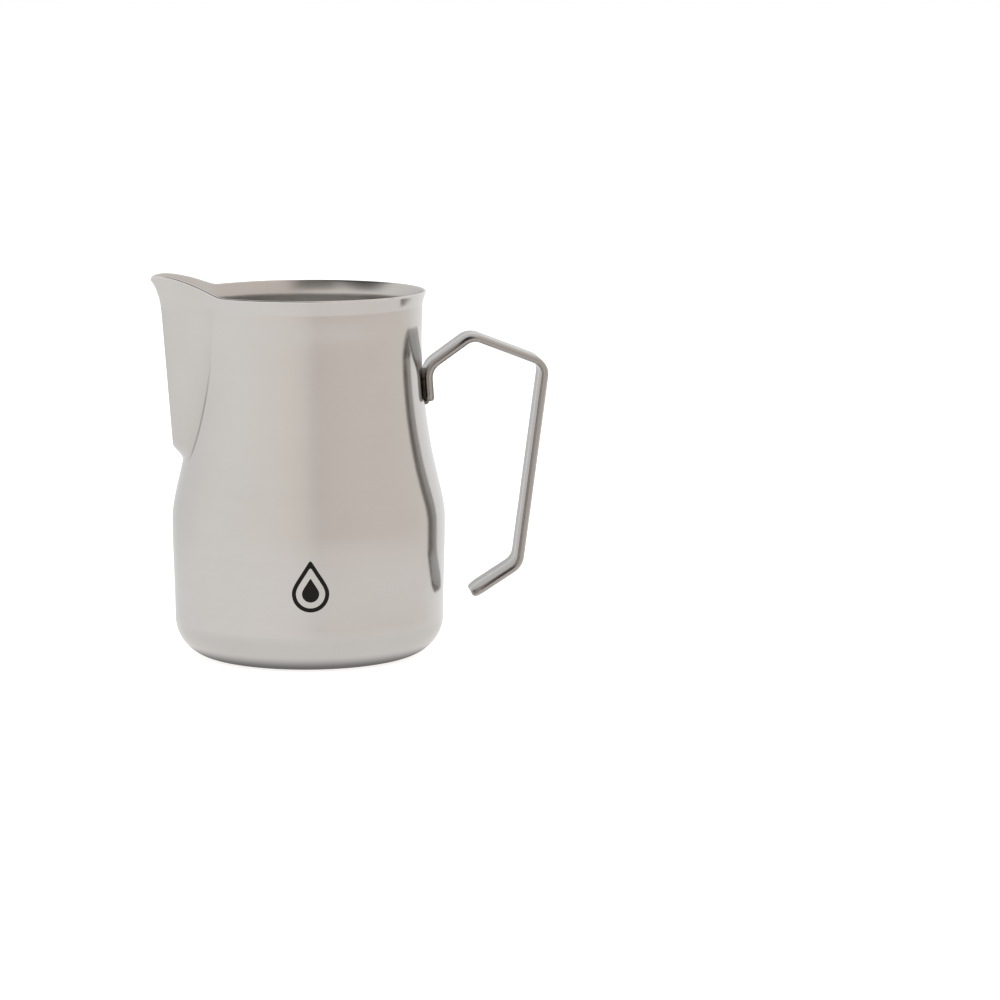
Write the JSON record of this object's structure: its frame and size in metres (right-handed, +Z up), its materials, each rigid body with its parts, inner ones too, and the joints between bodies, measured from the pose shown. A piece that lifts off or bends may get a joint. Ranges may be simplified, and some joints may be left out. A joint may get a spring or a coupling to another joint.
{
  "type": "milk frothing pitcher",
  "caption": "Open steel pitcher with a rounded belly, a tapered neck, a pressed pouring spout with a pointed lip, and an open-ended bent flat strap handle welded to the neck.",
  "frame": {"origin": "centre of the flat base, on the surface the pitcher stands on", "axes": "+Z up through the mouth, +X towards the handle, -X towards the spout, +Y to the side"},
  "size_m": [0.1287, 0.0892, 0.1247],
  "materials": {
    "polished_steel": "polished, slightly soft reflections",
    "strap_steel": "satin polished",
    "weld_steel": "dark weld, unpolished",
    "printed_mark": "matt black print on the belly"
  },
  "bodies": {
    "root": {"body_shell": "polished_steel", "handle_strap": "strap_steel", "weld_bead_upper": "weld_steel", "weld_bead_lower": "weld_steel"}
  },
  "joints": []
}
